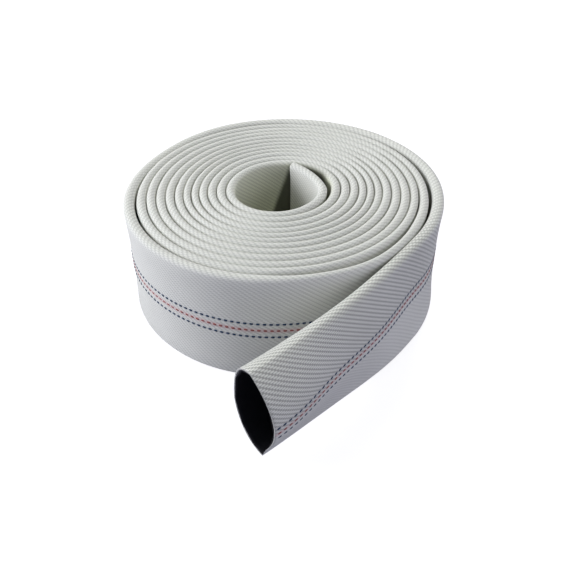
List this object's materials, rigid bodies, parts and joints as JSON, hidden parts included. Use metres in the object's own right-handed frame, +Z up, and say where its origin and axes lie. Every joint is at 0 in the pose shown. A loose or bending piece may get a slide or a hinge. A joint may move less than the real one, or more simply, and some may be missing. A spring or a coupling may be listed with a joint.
{
  "type": "rolled fire hose",
  "caption": "Rolled lay-flat fire hose with a woven jacket, a black rubber lining and three marker lines, standing on edge with its open end led out in front.",
  "frame": {"origin": "axis of the roll at floor level", "axes": "+Z up along the axis of the roll, -Y towards the side where the free end lies in front of the roll, +X to the right seen from there"},
  "size_m": [0.1802, 0.2417, 0.065],
  "materials": {
    "jacket": "undyed twill weave, matt",
    "liner": "smooth black rubber",
    "blue_warp": "dyed yarn, matt",
    "red_warp": "dyed yarn, matt"
  },
  "bodies": {
    "coil": {"jacket_coil": "jacket", "liner_coil": "liner", "blue_warps_coil": "blue_warp", "red_warp_coil": "red_warp"},
    "wrap_1": {"jacket_wrap_1": "jacket", "liner_wrap_1": "liner", "blue_warps_wrap_1": "blue_warp", "red_warp_wrap_1": "red_warp"},
    "wrap_2": {"jacket_wrap_2": "jacket", "liner_wrap_2": "liner", "blue_warps_wrap_2": "blue_warp", "red_warp_wrap_2": "red_warp"},
    "wrap_3": {"jacket_wrap_3": "jacket", "liner_wrap_3": "liner", "blue_warps_wrap_3": "blue_warp", "red_warp_wrap_3": "red_warp"},
    "wrap_4": {"jacket_wrap_4": "jacket", "liner_wrap_4": "liner", "blue_warps_wrap_4": "blue_warp", "red_warp_wrap_4": "red_warp"},
    "wrap_5": {"jacket_wrap_5": "jacket", "liner_wrap_5": "liner", "blue_warps_wrap_5": "blue_warp", "red_warp_wrap_5": "red_warp"},
    "tail_1": {"jacket_tail_1": "jacket", "liner_tail_1": "liner", "blue_warps_tail_1": "blue_warp", "red_warp_tail_1": "red_warp"},
    "tail_2": {"jacket_tail_2": "jacket", "liner_tail_2": "liner", "blue_warps_tail_2": "blue_warp", "red_warp_tail_2": "red_warp"},
    "tail_3": {"jacket_tail_3": "jacket", "liner_tail_3": "liner", "blue_warps_tail_3": "blue_warp", "red_warp_tail_3": "red_warp"},
    "mouth": {"jacket_mouth": "jacket", "liner_mouth": "liner", "blue_warps_mouth": "blue_warp", "red_warp_mouth": "red_warp"},
    "curl_1": {"jacket_curl_1": "jacket", "liner_curl_1": "liner", "blue_warps_curl_1": "blue_warp", "red_warp_curl_1": "red_warp"},
    "curl_2": {"jacket_curl_2": "jacket", "liner_curl_2": "liner", "blue_warps_curl_2": "blue_warp", "red_warp_curl_2": "red_warp"},
    "curl_3": {"jacket_curl_3": "jacket", "liner_curl_3": "liner", "blue_warps_curl_3": "blue_warp", "red_warp_curl_3": "red_warp"}
  },
  "joints": [
    {"name": "wrap_bend_1", "type": "hinge", "parent": "coil", "child": "wrap_1", "pos_m": [0.01552, 0.08773, 0.0325], "axis": [0, 0, 1], "range_deg": [0, 24]},
    {"name": "wrap_bend_2", "type": "hinge", "parent": "wrap_1", "child": "wrap_2", "pos_m": [0.04905, 0.07482, 0.0325], "axis": [0, 0, 1], "range_deg": [0, 24]},
    {"name": "wrap_bend_3", "type": "hinge", "parent": "wrap_2", "child": "wrap_3", "pos_m": [0.07438, 0.04932, 0.0325], "axis": [0, 0, 1], "range_deg": [0, 24]},
    {"name": "wrap_bend_4", "type": "hinge", "parent": "wrap_3", "child": "wrap_4", "pos_m": [0.08707, 0.01571, 0.0325], "axis": [0, 0, 1], "range_deg": [0, 24]},
    {"name": "wrap_bend_5", "type": "hinge", "parent": "wrap_4", "child": "wrap_5", "pos_m": [0.08512, -0.0202, 0.0325], "axis": [0, 0, 1], "range_deg": [0, 24]},
    {"name": "tail_bend_1", "type": "hinge", "parent": "wrap_5", "child": "tail_1", "pos_m": [0.0695, -0.0526, 0.0325], "axis": [0, 0, 1], "range_deg": [0, 12]},
    {"name": "tail_bend_2", "type": "hinge", "parent": "tail_1", "child": "tail_2", "pos_m": [0.05076, -0.07603, 0.0325], "axis": [0, 0, 1], "range_deg": [0, 12]},
    {"name": "tail_bend_3", "type": "hinge", "parent": "tail_2", "child": "tail_3", "pos_m": [0.03071, -0.09833, 0.0325], "axis": [0, 0, 1], "range_deg": [0, 12]},
    {"name": "tail_bend_4", "type": "hinge", "parent": "tail_3", "child": "mouth", "pos_m": [0.0094, -0.11944, 0.0325], "axis": [0, 0, 1], "range_deg": [0, 12]},
    {"name": "curl_bend_1", "type": "hinge", "parent": "coil", "child": "curl_1", "pos_m": [0.01858, -0.01158, 0.0325], "axis": [0, 0, 1], "range_deg": [0, 20]},
    {"name": "curl_bend_2", "type": "hinge", "parent": "curl_1", "child": "curl_2", "pos_m": [0.02026, 0.00164, 0.0325], "axis": [0, 0, 1], "range_deg": [0, 20]},
    {"name": "curl_bend_3", "type": "hinge", "parent": "curl_2", "child": "curl_3", "pos_m": [0.01692, 0.01463, 0.0325], "axis": [0, 0, 1], "range_deg": [0, 20]}
  ],
  "couplings": [
    {"joint": "wrap_bend_2", "follows": "wrap_bend_1", "ratio": 1},
    {"joint": "wrap_bend_3", "follows": "wrap_bend_1", "ratio": 1},
    {"joint": "wrap_bend_4", "follows": "wrap_bend_1", "ratio": 1},
    {"joint": "wrap_bend_5", "follows": "wrap_bend_1", "ratio": 1},
    {"joint": "tail_bend_2", "follows": "tail_bend_1", "ratio": 1},
    {"joint": "tail_bend_3", "follows": "tail_bend_1", "ratio": 1},
    {"joint": "tail_bend_4", "follows": "tail_bend_1", "ratio": 1},
    {"joint": "curl_bend_2", "follows": "curl_bend_1", "ratio": 1},
    {"joint": "curl_bend_3", "follows": "curl_bend_1", "ratio": 1}
  ]
}
